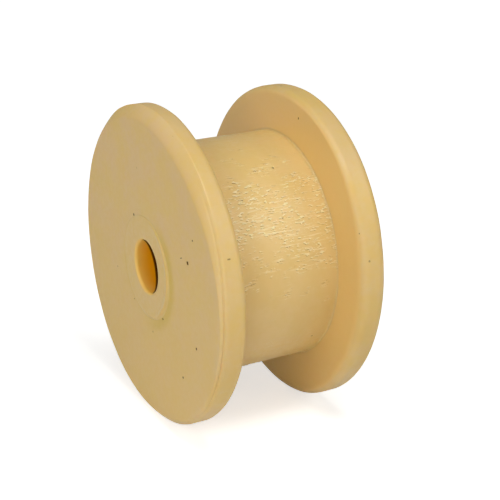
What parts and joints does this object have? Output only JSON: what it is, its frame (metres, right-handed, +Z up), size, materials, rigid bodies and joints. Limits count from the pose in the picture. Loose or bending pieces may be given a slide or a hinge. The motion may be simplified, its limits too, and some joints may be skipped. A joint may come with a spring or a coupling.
{
  "type": "thread spool",
  "caption": "Empty flanged plastic thread spool: smooth winding barrel between round-edged flanges, with a hub tube whose bore fits a spool pin.",
  "frame": {"origin": "centre of the spool, on the axis of the bore, half way between the flanges", "axes": "+Y along the spool's axis from the left flange to the right flange, +Z up, with the spool lying on its two rims"},
  "size_m": [0.048, 0.0274, 0.048],
  "materials": {
    "flange_plastic": "natural cream nylon, turned, half gloss, slightly see-through",
    "barrel_plastic": "natural cream nylon with fine drawn lines along the axis, half gloss",
    "hub_plastic": "natural cream nylon, half gloss, amber and oil-darkened in the bore"
  },
  "bodies": {
    "root": {"left_flange": "flange_plastic", "right_flange": "flange_plastic", "winding_barrel": "barrel_plastic", "hub_tube": "hub_plastic"}
  },
  "joints": []
}
